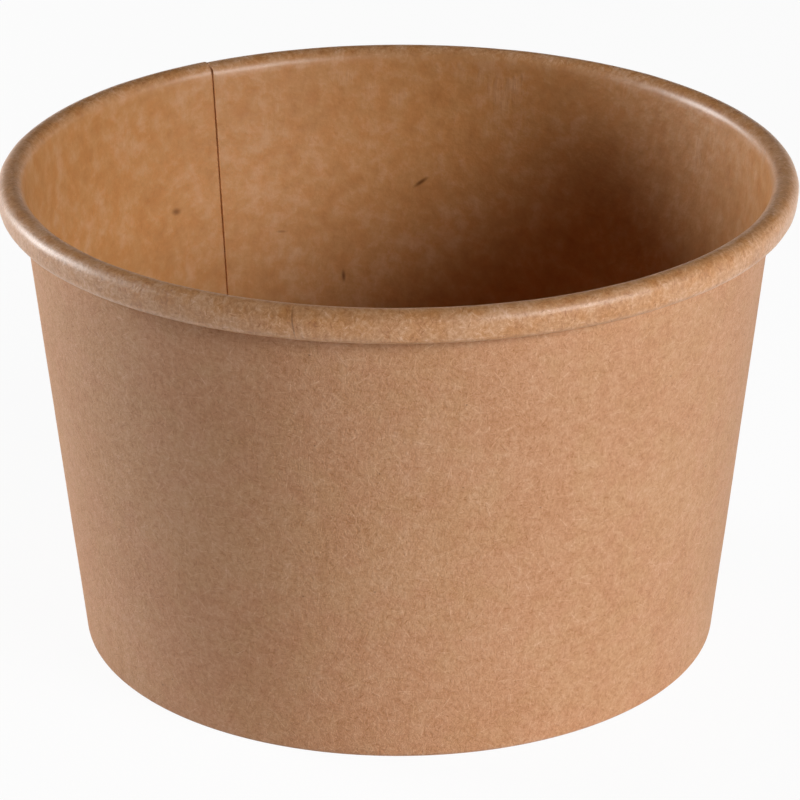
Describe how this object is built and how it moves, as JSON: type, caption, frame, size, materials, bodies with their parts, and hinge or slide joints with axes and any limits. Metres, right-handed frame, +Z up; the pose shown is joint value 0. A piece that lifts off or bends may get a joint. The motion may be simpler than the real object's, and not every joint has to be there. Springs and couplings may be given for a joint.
{
  "type": "paper tub",
  "caption": "Open single-serving ice cream tub wound from brown board, with a rolled rim, a lapped side seam, a folded foot and a recessed base",
  "frame": {"origin": "on the tub's axis, at the surface that it stands on", "axes": "+Z up along the axis; the picture looks along +Y and down, with +X to the right"},
  "size_m": [0.0958, 0.0955, 0.0592],
  "materials": {
    "board_wall": "matte outside, satin coating inside",
    "board_base": "matte underneath, satin coating inside"
  },
  "bodies": {
    "root": {"side_wall": "board_wall", "base_disc": "board_base"}
  },
  "joints": []
}
